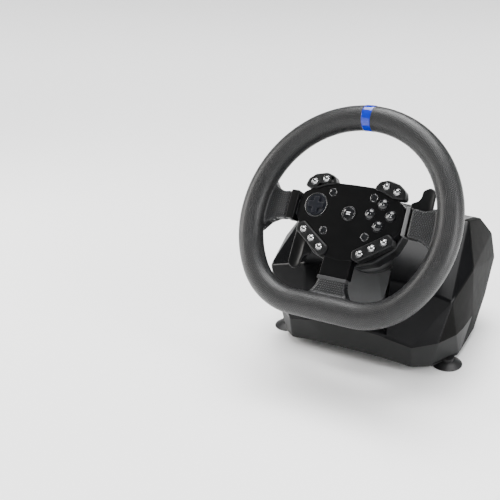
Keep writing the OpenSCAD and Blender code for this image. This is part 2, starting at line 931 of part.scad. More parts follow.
module main_board() {
    color([0.05, 0.3, 0.14]) in_base()
        translate([-62, 186, socket_z - 8.2]) cube([124, 24, 1.6]);
}

// One hollow socket shell with its tongue.
module socket(x, w, h) {
    translate([x - w / 2, 192, socket_z - 6.6]) difference() {
        cube([w, 26, h]);
        translate([1, 10, 1]) cube([w - 2, 20, h - 2]);
    }
}

module rear_sockets() {
    color([0.7, 0.7, 0.72]) in_base() {
        socket(socket_x[0], 12, 11);
        socket(socket_x[1], 14, 12);
    }
}

module rumble_motor() {
    color([0.65, 0.65, 0.66]) in_base() translate(motor_at)
        rotate([0, -90, 0]) {
            difference() {
                cylinder(h = 30, r = 12);
                translate([0, 0, 24]) cylinder(h = 10, r = 2.05);
            }
            translate([-49.4, -9, 4]) cube([40, 18, 20]);
        }
}

// Half-disc weight on the motor's spindle.
module rumble_weight() {
    color([0.55, 0.5, 0.4]) in_base() translate(motor_at)
        rotate([0, -90, 0]) {
            translate([0, 0, 25]) cylinder(h = 15, r = 2);
            translate([0, 0, 31]) rotate_extrude(angle = 180)
                square([9.5, 8]);
        }
}

rim_frame();
rim_grip();
top_marker();
spoke_covers();
spoke_trims();
hub_face();
hub_back();
pod_top_left();
pod_top_right();
pod_bottom_left();
pod_bottom_right();
button_rings();
button_mat();
hub_board();
hub_screws();
paddle_pins();
steering_shaft();
steering_gear();
home_button();
dpad_carrier();
dpad();
action_button_top();
action_button_left();
action_button_right();
action_button_bottom();
flush_button_top_left();
flush_button_top_right();
flush_button_bottom_left();
flush_button_bottom_right();
pod_button(1);  // pod_button_1
pod_button(2);  // pod_button_2
pod_button(3);  // pod_button_3
pod_button(4);  // pod_button_4
pod_button(5);  // pod_button_5
pod_button(6);  // pod_button_6
pod_button(7);  // pod_button_7
pod_button(8);  // pod_button_8
pod_button(9);  // pod_button_9
pod_button(10);  // pod_button_10
paddle_right();
paddle_left();
base_lower();
base_upper();
column_cover();
column_bezel();
side_panel_left();
side_panel_right();
rear_cover();
bottom_plate();
suction_cups();
column_housing();
shaft_bushes();
centring_spring();
sensor();
sensor_gear();
main_board();
rear_sockets();
rumble_motor();
rumble_weight();
base_screws();
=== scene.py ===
"""Looks of the desk racing wheel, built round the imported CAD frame. Metres."""

import json
import math

import bmesh
import bpy
import numpy as np
from mathutils import Matrix, Vector


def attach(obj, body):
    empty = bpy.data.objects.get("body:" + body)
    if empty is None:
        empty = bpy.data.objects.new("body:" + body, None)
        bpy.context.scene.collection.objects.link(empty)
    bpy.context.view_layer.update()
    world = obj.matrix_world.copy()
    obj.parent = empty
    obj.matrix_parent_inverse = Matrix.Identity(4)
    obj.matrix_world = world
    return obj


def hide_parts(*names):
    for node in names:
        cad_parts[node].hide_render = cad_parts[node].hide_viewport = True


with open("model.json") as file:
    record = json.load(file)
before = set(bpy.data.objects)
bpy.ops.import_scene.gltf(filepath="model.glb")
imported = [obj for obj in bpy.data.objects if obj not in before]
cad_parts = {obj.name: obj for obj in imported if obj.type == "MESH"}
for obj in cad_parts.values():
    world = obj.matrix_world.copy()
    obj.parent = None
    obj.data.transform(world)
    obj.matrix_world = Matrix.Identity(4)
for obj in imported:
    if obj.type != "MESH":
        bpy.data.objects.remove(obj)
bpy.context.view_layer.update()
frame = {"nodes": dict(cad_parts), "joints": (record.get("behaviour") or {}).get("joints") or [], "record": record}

MM = 0.001

# ---------------------------------------------------------------- geometry
# Wheel frame: u to the right, v up the rim, w towards the player.
# Base frame: x to the right, y back from the wheel's centre, z up.
TILT = math.radians(33)
RIM_R, TUBE_R, RIM_FLAT, CORNER_R = 125.0, 15.0, 105.4, 77.0
CORNER_Y = CORNER_R - RIM_FLAT
CORNER_X = math.sqrt((RIM_R - CORNER_R) ** 2 - CORNER_Y**2)
CORNER_A = math.atan2(CORNER_Y, CORNER_X)
HUB_HEIGHT = 188.0

steering = next(j for j in frame["joints"] if j["name"] == "steering")
RIM_CENTRE = Vector(steering["pos_m"])
TO_WHEEL = Matrix.Translation(RIM_CENTRE) @ Matrix.Rotation(
    math.pi / 2 - TILT, 4, "X"
)
TO_BASE = Matrix.Translation((0, RIM_CENTRE.y, 0))
FACE_W = -6.0  # the hub face's front, along w
HUB_SPLIT_W = -18.0  # where the hub's two shells meet


def at_wheel(obj):
    """Moves a mesh made in wheel millimetres into the row frame."""
    obj.data.transform(TO_WHEEL @ Matrix.Scale(MM, 4))
    return obj


def at_base(obj):
    """Moves a mesh made in base millimetres into the row frame."""
    obj.data.transform(TO_BASE @ Matrix.Scale(MM, 4))
    return obj


# ---------------------------------------------------------------- materials


class Shader:
    """A short way to write a Principled material with node noise."""

    def __init__(self, name, colour, rough, **sockets):
        self.mat = bpy.data.materials.new(name)
        self.mat.use_nodes = True
        self.tree = self.mat.node_tree
        self.bsdf = self.tree.nodes["Principled BSDF"]
        self.bsdf.inputs["Base Color"].default_value = (*colour, 1)
        self.bsdf.inputs["Roughness"].default_value = rough
        for key, value in sockets.items():
            self.bsdf.inputs[key.replace("_", " ")].default_value = value
        self.coords = self.tree.nodes.new("ShaderNodeTexCoord")

    def node(self, kind, **inputs):
        n = self.tree.nodes.new(kind)
        for key, value in inputs.items():
            n.inputs[key.replace("_", " ")].default_value = value
        return n

    def link(self, source, target):
        self.tree.links.new(source, target)

    def noise(self, scale, detail=4.0, rough=0.55):
        n = self.node("ShaderNodeTexNoise", Scale=scale, Detail=detail, Roughness=rough)
        self.link(self.coords.outputs["Object"], n.inputs["Vector"])
        return n.outputs["Fac"]

    def ramp(self, source, stops):
        n = self.node("ShaderNodeValToRGB")
        ramp = n.color_ramp
        while len(ramp.elements) < len(stops):
            ramp.elements.new(0.5)
        for element, (place, colour) in zip(ramp.elements, stops):
            element.position = place
            element.color = (*colour, 1)
        self.link(source, n.inputs["Fac"])
        return n.outputs["Color"]

    def remap(self, source, low, high):
        n = self.node("ShaderNodeMapRange")
        n.inputs["To Min"].default_value = low
        n.inputs["To Max"].default_value = high
        self.link(source, n.inputs["Value"])
        return n.outputs["Result"]

    def math(self, operation, a, b=None):
        n = self.tree.nodes.new("ShaderNodeMath")
        n.operation = operation
        for socket, value in zip(n.inputs, (a, b)):
            if value is None:
                continue
            if isinstance(value, (int, float)):
                socket.default_value = value
            else:
                self.link(value, socket)
        return n.outputs[0]

    def vary_colour(self, dark, light, scale, detail=5.0):
        self.link(
            self.ramp(self.noise(scale, detail), [(0.3, dark), (0.72, light)]),
            self.bsdf.inputs["Base Color"],
        )
        return self

    def vary_rough(self, low, high, scale):
        self.link(
            self.remap(self.noise(scale, 6.0), low, high),
            self.bsdf.inputs["Roughness"],
        )
        return self

    def bump(self, height, strength, distance):
        n = self.node("ShaderNodeBump", Strength=strength, Distance=distance)
        self.link(height, n.inputs["Height"])
        previous = self.bsdf.inputs["Normal"]
        if previous.is_linked:
            self.link(previous.links[0].from_socket, n.inputs["Normal"])
        self.link(n.outputs["Normal"], previous)
        return self


def grain_cells(s, layer="grain"):
    """Distance from the nearest dimple centre on a hexagonal grid in UV."""
    uv = s.tree.nodes.new("ShaderNodeUVMap")
    uv.uv_map = layer
    split = s.tree.nodes.new("ShaderNodeSeparateXYZ")
    s.link(uv.outputs["UV"], split.inputs[0])

    def lattice(shift):
        x = s.math("ADD", split.outputs["X"], shift)
        y = s.math("ADD", s.math("MULTIPLY", split.outputs["Y"], 0.57735), shift)
        dx = s.math("SUBTRACT", s.math("FRACT", x), 0.5)
        dy = s.math("SUBTRACT", s.math("FRACT", y), 0.5)
        dy = s.math("MULTIPLY", dy, 1.73205)
        squares = s.math("ADD", s.math("MULTIPLY", dx, dx), s.math("MULTIPLY", dy, dy))
        return s.math("SQRT", squares)

    return s.math("MINIMUM", lattice(0.0), lattice(0.5))


def grip_material(name, base, depth):
    """Pebbled rubber: rows of small pips, rubbed smoother on their tops, whose colour is lighter as a painted
    highlight.
    """
    s = Shader(name, base, 0.36, Specular_IOR_Level=0.4)
    pip = s.node("ShaderNodeMapRange")
    pip.interpolation_type = "SMOOTHSTEP"
    pip.inputs["From Min"].default_value = 0.14
    pip.inputs["From Max"].default_value = 0.36
    pip.inputs["To Min"].default_value = 1.0
    pip.inputs["To Max"].default_value = 0.0
    s.link(grain_cells(s), pip.inputs["Value"])
    pip = pip.outputs["Result"]
    height = s.math("ADD", pip, s.math("MULTIPLY", s.noise(2600.0, 2.0), 0.2))
    s.bump(height, depth, 0.0005)
    dark = tuple(c * 0.8 for c in base)
    light = tuple(min(1, c * 5) for c in base)
    # Painted highlight: the pip tops are coloured lighter to stand in for their glints; the noise adds random
    # tone.
    pip_glint_and_tone = s.math(
        "ADD", s.math("MULTIPLY", pip, 0.75), s.math("MULTIPLY", s.noise(34.0, 5.0), 0.25)
    )
    s.link(s.ramp(pip_glint_and_tone, [(0.1, dark), (0.95, light)]), s.bsdf.inputs["Base Color"])
    s.link(
        s.math("SUBTRACT", s.remap(s.noise(60.0, 6.0), 0.34, 0.44), s.math("MULTIPLY", pip, 0.12)),
        s.bsdf.inputs["Roughness"],
    )
    return s.mat


def moulded(name, colour, rough, grain=900.0, depth=0.12, spread=0.06, shine=0.32):
    """Injection-moulded plastic with a fine spark-eroded grain."""
    s = Shader(name, colour, rough, Specular_IOR_Level=shine)
    s.vary_colour(
        tuple(c * 0.88 for c in colour), tuple(min(1, c * 1.12) for c in colour), 22.0
    )
    s.vary_rough(rough - spread, rough + spread, 70.0)
    s.bump(s.noise(grain, 3.0), depth, 0.0002)
    return s.mat


def glossy(name, colour, rough=0.08, coat=0.25):
    """Polished black plastic with faint handling haze."""
    s = Shader(
        name, colour, rough, Coat_Weight=coat, Coat_Roughness=0.04, Specular_IOR_Level=0.3
    )
    s.vary_rough(max(0.02, rough - 0.03), rough + 0.05, 26.0)
    s.vary_colour(
        tuple(c * 0.85 for c in colour), tuple(min(1, c * 1.25) for c in colour), 14.0
    )
    s.bump(s.noise(18.0, 2.0), 0.02, 0.0006)
    return s.mat


def metal(name, colour, rough, streak=0.0):
    s = Shader(name, colour, rough, Metallic=1.0)
    s.vary_rough(max(0.03, rough - 0.06), rough + 0.08, 120.0)
    s.vary_colour(
        tuple(c * 0.9 for c in colour), tuple(min(1, c * 1.08) for c in colour), 45.0
    )
    if streak:
        s.bump(s.noise(1400.0, 2.0), streak, 0.0001)
    return s.mat


MATERIALS = {
    "grip": grip_material("grip", (0.0028, 0.0029, 0.0031), 0.7),
    "spoke_texture": grip_material("spoke_texture", (0.006, 0.0063, 0.0068), 0.9),
    "marker": glossy("marker", (0.0004, 0.016, 0.36), 0.14, 0.5),
    "gloss_black": glossy("gloss_black", (0.004, 0.004, 0.0045), 0.1, 0.0),
    "shell_black": moulded("shell_black", (0.0042, 0.0043, 0.0047), 0.2, 300.0, 0.02, 0.03, 0.085),
    "face": moulded("face", (0.0024, 0.0025, 0.0027), 0.3, shine=0.15),
    "graphite": moulded("graphite", (0.006, 0.0063, 0.0067), 0.34, shine=0.26),
    "neck_grey": moulded("neck_grey", (0.1, 0.102, 0.104), 0.4),
    "bezel": moulded("bezel", (0.06, 0.0612, 0.063), 0.35),
    "band_grey": moulded("band_grey", (0.021, 0.0214, 0.0214), 0.4, shine=0.06),
    "panel_black": moulded("panel_black", (0.005, 0.005, 0.0048), 0.48, shine=0.012),
    "ring_chrome": metal("ring_chrome", (0.22, 0.223, 0.228), 0.2),
    "button_dark": glossy("button_dark", (0.006, 0.0065, 0.0075), 0.1, 0.5),
    "button_metal": metal("button_metal", (0.1, 0.102, 0.107), 0.17),
    "button_silver": metal("button_silver", (0.36, 0.364, 0.37), 0.14),
    "dpad_cross": moulded("dpad_cross", (0.007, 0.0082, 0.012), 0.3, shine=0.25),
    "steel": metal("steel", (0.55, 0.56, 0.58), 0.3, 0.3),
    "frame_steel": moulded("frame_steel", (0.06, 0.06, 0.065), 0.45, 500.0, 0.2),
    "bronze": metal("bronze", (0.55, 0.38, 0.18), 0.35, 0.4),
    "board": moulded("board", (0.015, 0.12, 0.05), 0.35),
    "silicone": moulded("silicone", (0.6, 0.6, 0.57), 0.55),
    "gear_plastic": moulded("gear_plastic", (0.74, 0.72, 0.64), 0.4),
    "sensor_blue": moulded("sensor_blue", (0.05, 0.09, 0.2), 0.4),
    "inner_black": moulded("inner_black", (0.01, 0.01, 0.0105), 0.5),
    "cup_rubber": moulded("cup_rubber", (0.008, 0.008, 0.0085), 0.45),
    "legend": moulded("legend", (0.85, 0.86, 0.88), 0.4),
    "trim_grey": moulded("trim_grey", (0.12, 0.121, 0.122), 0.35),
    "trim_dark": moulded("trim_dark", (0.045, 0.0455, 0.0465), 0.35),
}


def finish_piece(obj, body, material, replaces=(), smooth=35):
    """Gives a new piece its material and body, and hides the CAD parts it replaces."""
    obj.data.materials.clear()
    obj.data.materials.append(MATERIALS[material])
    if smooth:
        obj.data.shade_smooth()
        obj.data.set_sharp_from_angle(angle=math.radians(smooth))
        mod = obj.modifiers.new("normals", "WEIGHTED_NORMAL")
        mod.mode = "FACE_AREA"
        mod.weight = 60
        mod.keep_sharp = True
        apply_modifiers(obj)
    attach(obj, body)
    if replaces:
        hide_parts(*replaces)
    return obj


# ---------------------------------------------------------------- mesh tools


def new_mesh(name, verts, faces):
    mesh = bpy.data.meshes.new(name)
    mesh.from_pydata([tuple(v) for v in verts], [], [tuple(f) for f in faces])
    mesh.update()
    obj = bpy.data.objects.new(name, mesh)
    bpy.context.scene.collection.objects.link(obj)
    return obj


def apply_modifiers(obj):
    """Replaces the mesh by what its modifiers make of it."""
    bpy.context.view_layer.update()
    graph = bpy.context.evaluated_depsgraph_get()
    mesh = bpy.data.meshes.new_from_object(obj.evaluated_get(graph))
    obj.modifiers.clear()
    obj.data = mesh
    return obj


def boolean(obj, cutter, operation="DIFFERENCE", keep=False):
    mod = obj.modifiers.new("cut", "BOOLEAN")
    mod.object = cutter
    mod.operation = operation
    mod.solver = "MANIFOLD"
    apply_modifiers(obj)
    if not keep:
        bpy.data.objects.remove(cutter)
    return obj


def bevel(obj, width, segments=3, angle=30):
    mod = obj.modifiers.new("bevel", "BEVEL")
    mod.width = width
    mod.segments = segments
    mod.limit_method = "ANGLE"
    mod.angle_limit = math.radians(angle)
    mod.miter_outer = "MITER_ARC"
    mod.use_clamp_overlap = True
    return apply_modifiers(obj)


def rounded(points, radius, steps=6):
    """A closed outline with its corners rounded. radius may be a list."""
    out = []
    count = len(points)
    for i, here in enumerate(points):
        r = radius[i] if isinstance(radius, (list, tuple)) else radius
        p = Vector(here)
        a = Vector(points[i - 1]) - p
        b = Vector(points[(i + 1) % count]) - p
        angle = a.angle(b)
        reach = min(r / math.tan(angle / 2), a.length * 0.49, b.length * 0.49)
        if reach < 0.05 or angle > math.radians(178):
            out.append(p)
            continue
        start, end = p + a.normalized() * reach, p + b.normalized() * reach
        for k in range(steps + 1):
            t = k / steps
            out.append(
                start * (1 - t) ** 2 + p * (2 * t * (1 - t)) + end * t**2
            )
    return [tuple(q) for q in out]


def circle(centre, r, n=48):
    return [
        (
            centre[0] + r * math.cos(2 * math.pi * i / n),
            centre[1] + r * math.sin(2 * math.pi * i / n),
        )
        for i in range(n)
    ]


def plate(name, outline, holes, low, high, edge=0.8, steps=3):
    """A flat plate with bevelled edges from an outline and round holes."""
    curve = bpy.data.curves.new(name, "CURVE")
    curve.dimensions = "2D"
    curve.fill_mode = "BOTH"
    for loop in [outline, *holes]:
        spline = curve.splines.new("POLY")
        spline.points.add(len(loop) - 1)
        for point, (x, y) in zip(spline.points, loop):
            point.co = (x, y, 0, 1)
        spline.use_cyclic_u = True
    curve.extrude = (high - low) / 2 - edge
    curve.bevel_depth = edge
    curve.bevel_resolution = steps
    curve.offset = -edge
    holder = bpy.data.objects.new(name, curve)
    bpy.context.scene.collection.objects.link(holder)
    bpy.context.view_layer.update()
    graph = bpy.context.evaluated_depsgraph_get()
    mesh = bpy.data.meshes.new_from_object(holder.evaluated_get(graph))
    bpy.data.objects.remove(holder)
    bm = bmesh.new()
    bm.from_mesh(mesh)
    bmesh.ops.remove_doubles(bm, verts=bm.verts, dist=0.001)
    bmesh.ops.recalc_face_normals(bm, faces=bm.faces)
    bm.to_mesh(mesh)
    bm.free()
    mesh.transform(Matrix.Translation((0, 0, (low + high) / 2)))
    obj = bpy.data.objects.new(name, mesh)
    bpy.context.scene.collection.objects.link(obj)
    return obj


def lathe(name, profile, centre=(0, 0), turns=48):
    """A closed solid of revolution about w from (radius, height) points."""
    verts, faces = [], []
    rings = []
    for r, z in profile:
        if r < 1e-6:
            rings.append([len(verts)])
            verts.append((centre[0], centre[1], z))
            continue
        ring = []
        for i in range(turns):
            a = 2 * math.pi * i / turns
            ring.append(len(verts))
            verts.append(
                (centre[0] + r * math.cos(a), centre[1] + r * math.sin(a), z)
            )
        rings.append(ring)
    for low, high in zip(rings, rings[1:]):
        for i in range(turns):
            j = (i + 1) % turns
            if len(low) == 1 and len(high) == 1:
                continue
            if len(low) == 1:
                faces.append((low[0], high[j], high[i]))
            elif len(high) == 1:
                faces.append((low[i], low[j], high[0]))
            else:
                faces.append((low[i], low[j], high[j], high[i]))
    if len(rings[0]) > 1 and len(rings[-1]) > 1:
        for i in range(turns):
            j = (i + 1) % turns
            faces.append((rings[-1][i], rings[-1][j], rings[0][j], rings[0][i]))
    obj = new_mesh(name, verts, faces)
    bm = bmesh.new()
    bm.from_mesh(obj.data)
    bmesh.ops.recalc_face_normals(bm, faces=bm.faces)
    bm.to_mesh(obj.data)
    bm.free()
    return obj


def join(name, objects):
    """Joins meshes into one object without operators."""
    bm = bmesh.new()
    for o in objects:
        bm.from_mesh(o.data)
    mesh = bpy.data.meshes.new(name)
    bm.to_mesh(mesh)
    bm.free()
    for o in objects:
        bpy.data.objects.remove(o)
    obj = bpy.data.objects.new(name, mesh)
    bpy.context.scene.collection.objects.link(obj)
    return obj


def recalc(obj):
    """Turns every face outward."""
    bm = bmesh.new()
    bm.from_mesh(obj.data)
    bmesh.ops.recalc_face_normals(bm, faces=bm.faces)
    bm.to_mesh(obj.data)
    bm.free()
    return obj


def prism(name, outline, low, high, axis="Z"):
    """A prism over an outline. Along X the outline is (y, z), along Y (x, z)."""
    def place(a, b, c):
        return {"Z": (a, b, c), "X": (c, a, b), "Y": (a, c, b)}[axis]

    n = len(outline)
    verts = [place(a, b, low) for a, b in outline]
    verts += [place(a, b, high) for a, b in outline]
    faces = [range(n), range(n, 2 * n)]
    faces += [(i, (i + 1) % n, n + (i + 1) % n, n + i) for i in range(n)]
    return recalc(new_mesh(name, verts, faces))


def block(name, low, high):
    return prism(
        name,
        [(low[0], low[1]), (high[0], low[1]), (high[0], high[1]), (low[0], high[1])],
        low[2],
        high[2],
    )


def soften(obj, voxel, rounds, factor=0.5):
    """Unites overlapping solids and rounds where they meet."""
    mod = obj.modifiers.new("voxels", "REMESH")
    mod.mode = "VOXEL"
    mod.voxel_size = voxel
    mod = obj.modifiers.new("smooth", "SMOOTH")
    mod.factor = factor
    mod.iterations = rounds
    return apply_modifiers(obj)


def both_sides(half):
    """A closed outline from its right half, running round one way."""
    return half + [(-x, y) for x, y in reversed(half[1:-1])]


# ---------------------------------------------------------------- rim


def rim_path(step=2.5):
    """Centre line from twelve o'clock clockwise: (u, v, outward u, outward v)."""
    sweep = math.pi / 2 - CORNER_A
    points = []

    def arc(cx, cy, r, start, end):
        n = max(2, round(abs(end - start) * r / step))
        for i in range(n):
            a = start + (end - start) * i / n
            points.append((cx + r * math.cos(a), cy + r * math.sin(a), math.cos(a), math.sin(a)))

    arc(0, 0, RIM_R, math.pi / 2, math.pi / 2 - sweep)
    arc(CORNER_X, CORNER_Y, CORNER_R, CORNER_A, -math.pi / 2)
    n = round(2 * CORNER_X / step)
    points += [(CORNER_X - 2 * CORNER_X * i / n, -RIM_FLAT, 0, -1) for i in range(n)]
    arc(-CORNER_X, CORNER_Y, CORNER_R, -math.pi / 2, -math.pi - CORNER_A)
    arc(0, 0, RIM_R, -math.pi - CORNER_A, -3 * math.pi / 2)
    return points


def sweep_rim(name, points, radii, sides, closed):
    """A tube along rim points with one radius for each of them."""
    verts, faces = [], []
    count = len(points)
    for (u, v, nu, nv), r in zip(points, radii):
        for k in range(sides):
            a = 2 * math.pi * k / sides
            out, up = r * math.cos(a), r * math.sin(a)
            verts.append((u + nu * out, v + nv * out, up))
    for i in range(count if closed else count - 1):
        j = (i + 1) % count
        for k in range(sides):
            m = (k + 1) % sides
            faces.append((i * sides + k, i * sides + m, j * sides + m, j * sides + k))
    if not closed:
        faces.append(range(sides))
        faces.append(range((count - 1) * sides, count * sides))
    return recalc(new_mesh(name, verts, faces))


GRAIN_PITCH, SPOKE_PITCH = 2.2, 2.9
ROUND_CELLS = 25 / 0.57735  # rows of pips round the tube, on a hexagonal grid
SKIN_PROUD = 0.15
BAND_HALF = 6.0
RIGHT_COVER_U, LEFT_COVER_U = 76.3, 81.3
SIDE_COVER = [
    (92, -10), (103, -16), (112, -27), (124, -34),
    (124, 48), (112, 38), (104, 28), (92, 24),
]
LOWER_COVER = [
    (-17, -69), (17, -69), (18.5, -80), (26, -91), (36, -100),
    (-36, -100), (-26, -91), (-18.5, -80),
]


def spoke_solid(name, outline):
    return plate(name, rounded(outline, 3), [], -18, -3, 2.2, 4)


def side_spoke(start):
    """The side cover's outline from where its trim ends."""
    return [(start, 26), (start, -9), *SIDE_COVER]


def grain_uv(obj):
    """Lays the grain along the tube and flat over the spokes.

    Returns the indices of the faces on the spokes.
    """
    path = np.array(rim_path(1.0))
    step = np.linalg.norm(np.roll(path[:, :2], -1, 0) - path[:, :2], axis=1)
    length = np.concatenate([[0], np.cumsum(step)[:-1]])
    half = step.sum() / 2
    length = np.where(length > half, length - 2 * half, length)
    mesh = obj.data
    co = np.empty(len(mesh.vertices) * 3)
    mesh.vertices.foreach_get("co", co)
    co = co.reshape(-1, 3)
    near = np.empty(len(co), int)
    for start in range(0, len(co), 4000):
        part = co[start : start + 4000, None, :2] - path[None, :, :2]
        near[start : start + 4000] = (part**2).sum(2).argmin(1)
    at = path[near]
    out = ((co[:, :2] - at[:, :2]) * at[:, 2:]).sum(1)
    along = length[near] + (
        (co[:, :2] - at[:, :2]) * np.stack([at[:, 3], -at[:, 2]], 1)
    ).sum(1)
    angle = np.arctan2(out, co[:, 2])
    radius = np.hypot(out, co[:, 2])
    layer = mesh.uv_layers.new(name="grain")
    uv = np.empty((len(mesh.loops), 2))
    spoke_faces = []
    for face in mesh.polygons:
        ids = list(face.vertices)
        loops = list(face.loop_indices)
        if radius[ids].mean() > TUBE_R + 0.8:
            spoke_faces.append(face.index)
            uv[loops, 0] = co[ids, 0] / SPOKE_PITCH
            uv[loops, 1] = co[ids, 1] / SPOKE_PITCH
            continue
        turn = angle[ids] - angle[ids[0]]
        turn = angle[ids[0]] + (turn + math.pi) % (2 * math.pi) - math.pi
        here = along[ids]
        here = here[0] + (here - here[0] + half) % (2 * half) - half
        uv[loops, 0] = here / GRAIN_PITCH
        uv[loops, 1] = turn / (2 * math.pi) * ROUND_CELLS
    layer.data.foreach_set("uv", uv.ravel())
    return spoke_faces


def make_rim():
    path = rim_path()
    tube = sweep_rim("tube", path, [TUBE_R + SKIN_PROUD] * len(path), 48, True)
    right = spoke_solid("right", side_spoke(RIGHT_COVER_U))
    left = spoke_solid("left", [(-u, v) for u, v in side_spoke(LEFT_COVER_U)])
    lower = spoke_solid("lower", LOWER_COVER)
    rim = soften(join("rim_grip_skin", [tube, right, left, lower]), 1.25, 14)
    spokes = grain_uv(rim)
    finish_piece(at_wheel(rim), "wheel", "grip", replaces=("rim_grip", "spoke_covers"))
    rim.data.materials.append(MATERIALS["spoke_texture"])
    for index in spokes:
        rim.data.polygons[index].material_index = 1

    half = BAND_HALF / RIM_R
    profile = [(-1, 13.0), (-1, 15.0), (-0.97, 15.35), (-0.9, 15.55)]
    profile += [(t / 10, 15.6) for t in range(-8, 9, 2)]
    profile += [(-t, r) for t, r in reversed(profile[:4])]
    points, radii = [], []
    for t, r in profile:
        a = math.pi / 2 - t * half
        points.append((RIM_R * math.cos(a), RIM_R * math.sin(a), math.cos(a), math.sin(a)))
        radii.append(r)
    band = sweep_rim("top_band", points, radii, 72, False)
    finish_piece(at_wheel(band), "wheel", "marker", replaces=("top_marker",))


# ---------------------------------------------------------------- hub

FACE_HALF = [
    (0, 43.5), (26, 43), (46, 38.5), (66, 26.5), (69, 12), (68, -4),
    (59, -15), (34, -35), (18, -46), (0, -48),
]
BACK_HALF = [
    (0, 42.5), (28, 42), (50, 37), (65, 25.5), (68, 12), (67, -8),
    (61, -24), (40, -43), (18, -50), (0, -51),
]
POD_TOP = [
    (24, 42), (30, 51), (40, 54), (55, 50.5), (63, 44), (66, 33), (50, 33), (38, 38),
]
POD_BOTTOM = [
    (15.6, -35), (17, -43.5), (24, -47.4), (63.3, -20.7), (62, -13), (54.9, -8.3),
]
HOME = (0, 8.4)
DPAD = (-45, 13)
ACTION = {"top": (40.4, 24.7), "left": (27, 11.4), "right": (52.6, 12.2), "bottom": (39.6, -1.7)}
FLUSH = {
    "top_left": (-27, 31), "top_right": (27, 31),
    "bottom_left": (-27, -16.2), "bottom_right": (27, -16.2),
}
PODS = [
    (-54, 41), (-39.4, 46), (39.4, 46), (54, 41), (-52.5, -19), (-39.5, -28),
    (-26.4, -36.7), (52.5, -19), (39.5, -28), (26.4, -36.7),
]
HOME_R, DPAD_R, ACTION_R, FLUSH_R, POD_R = 7.2, 13.0, 5.6, 3.9, 4.2
GAP = 0.35
LUG_V = (9, 25)
LUG_LOW, LUG_HIGH = (47, 0, -50.5), (57, 4, -38.5)


def pod_outline(top, side):
    points = [(side * u, v) for u, v in (POD_TOP if top else POD_BOTTOM)]
    radii = [5, 4, 9, 7, 7, 4.2, 6, 12] if top else [4.3, 4.3, 5.5, 5.5, 4.3, 4.3]
    return rounded(points, radii)


def grown(outline, by):
    """An outline pushed outward by a small amount."""
    n = len(outline)
    area = sum(
        outline[i][0] * outline[(i + 1) % n][1] - outline[(i + 1) % n][0] * outline[i][1]
        for i in range(n)
    )
    sign = 1 if area > 0 else -1
    out = []
    for i in range(n):
        a, b = Vector(outline[i - 1]), Vector(outline[(i + 1) % n])
        d = (b - a).normalized()
        out.append((outline[i][0] + sign * d.y * by, outline[i][1] - sign * d.x * by))
    return out


def make_hub():
    outline = rounded(both_sides(FACE_HALF), 9)
    holes = [circle(HOME, HOME_R + 1.75), circle(DPAD, DPAD_R + 2.0, 64)]
    holes += [circle(p, ACTION_R + 1.1) for p in ACTION.values()]
    holes += [circle(p, FLUSH_R + 1.15) for p in FLUSH.values()]
    face = plate("hub_face_plate", outline, holes, HUB_SPLIT_W, FACE_W, 0.7, 3)
    for top in (True, False):
        for side in (-1, 1):
            pocket = grown(pod_outline(top, side), GAP)
            face = boolean(face, prism("pod_cut", pocket, -30, 0))
    finish_piece(at_wheel(face), "wheel", "face", replaces=("hub_face",))

    back = plate(
        "hub_back_shell", rounded(both_sides(BACK_HALF), 12), [circle((0, 0), 27, 64)],
        -40, -18.4, 2.4, 4,
    )
    lugs = []
    for sign in (1, -1):
        for v in LUG_V:
            lug = block("lug", LUG_LOW, LUG_HIGH)
            lug.data.transform(Matrix.Translation((0, v, 0)))
            if sign < 0:
                lug.data.transform(Matrix.Rotation(math.pi, 4, "Z"))
            lugs.append(bevel(lug, 0.9))
    back = join("hub_back_shell", [back, *lugs])
    finish_piece(at_wheel(back), "wheel", "graphite", replaces=("hub_back",))

    for top in (True, False):
        for side in (-1, 1):
            name = f"pod_{'top' if top else 'bottom'}_{'left' if side < 0 else 'right'}"
            own = [
                p for p in PODS
                if (p[1] > 0) == top and (p[0] > 0) == (side > 0)
            ]
            shell = plate(
                name + "_shell", pod_outline(top, side),
                [circle(p, POD_R + GAP) for p in own], HUB_SPLIT_W, FACE_W + 2, 1.6, 4,
            )
            finish_piece(at_wheel(shell), "wheel", "graphite", replaces=(name,))


CAP_LOW = -13.4  # the foot of every button cap, along w
RING_LOW = -9.0
MARK_DEPTH, MARK_PROUD = 0.5, 0.07


def ring_profile(r_in, r_out, low, high, edge=0.25):
    """A flat ring's section with eased edges."""
    return [
        (r_in, low), (r_in, high - edge), (r_in + edge * 0.3, high - edge * 0.3),
        (r_in + edge, high), (r_out - edge, high), (r_out - edge * 0.3, high - edge * 0.3),
        (r_out, high - edge), (r_out, low),
    ]


def cap_profile(r, low, rim, dome, edge=0.5):
    """A round cap: straight side to rim height, rolled edge, domed top."""
    points = [(0, low), (r, low), (r, rim - edge)]
    for k in range(1, 5):
        a = k / 5 * math.pi / 2
        points.append((r - edge * (1 - math.cos(a)), rim - edge * (1 - math.sin(a))))
    inner = r - edge
    if dome < 0.01:
        return points + [(inner, rim), (0, rim)]
    big = (inner**2 + dome**2) / (2 * dome)
    for k in range(9):
        x = inner * (1 - k / 8)
        points.append((x, rim + math.sqrt(max(0, big**2 - x**2)) - (big - dome)))
    return points


